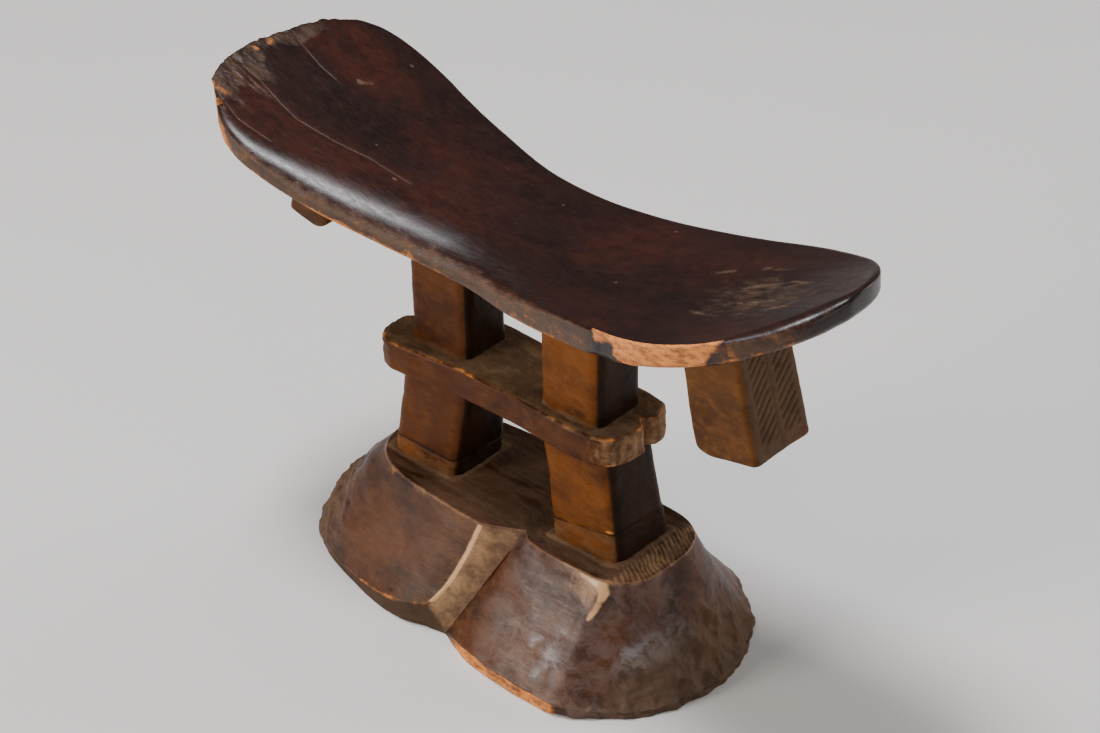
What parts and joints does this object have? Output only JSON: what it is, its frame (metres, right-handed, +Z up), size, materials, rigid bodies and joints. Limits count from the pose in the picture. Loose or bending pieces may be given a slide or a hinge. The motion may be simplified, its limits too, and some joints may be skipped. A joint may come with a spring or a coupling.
{
  "type": "headrest",
  "caption": "Carved wooden neck rest: curved saddle on two tiers of square posts with a middle slab, lugs under the saddle ends and a two-lobed base.",
  "frame": {"origin": "on the ground, below the middle of the outer box", "axes": "+X along the saddle towards the end with the longer lug, +Y towards the back, +Z up"},
  "size_m": [0.1856, 0.0696, 0.129],
  "materials": {
    "saddle_wood": "dark red-brown, polished by use, satin gloss",
    "post_wood": "warm orange-brown, waxy, dusty in the corners",
    "slab_wood": "red-brown with worn edges and a dusty top",
    "base_wood": "mottled brown, scuffed, raw and orange at the worn rim",
    "lug_wood": "honey brown, with cut grooves on the outer face"
  },
  "bodies": {
    "root": {"saddle": "saddle_wood", "end_lug_left": "lug_wood", "end_lug_right": "lug_wood", "upper_post_left": "post_wood", "upper_post_right": "post_wood", "middle_slab": "slab_wood", "lower_post_left": "post_wood", "lower_post_right": "post_wood", "base_platform": "base_wood", "base_lobe_left": "base_wood", "base_lobe_right": "base_wood"}
  },
  "joints": []
}
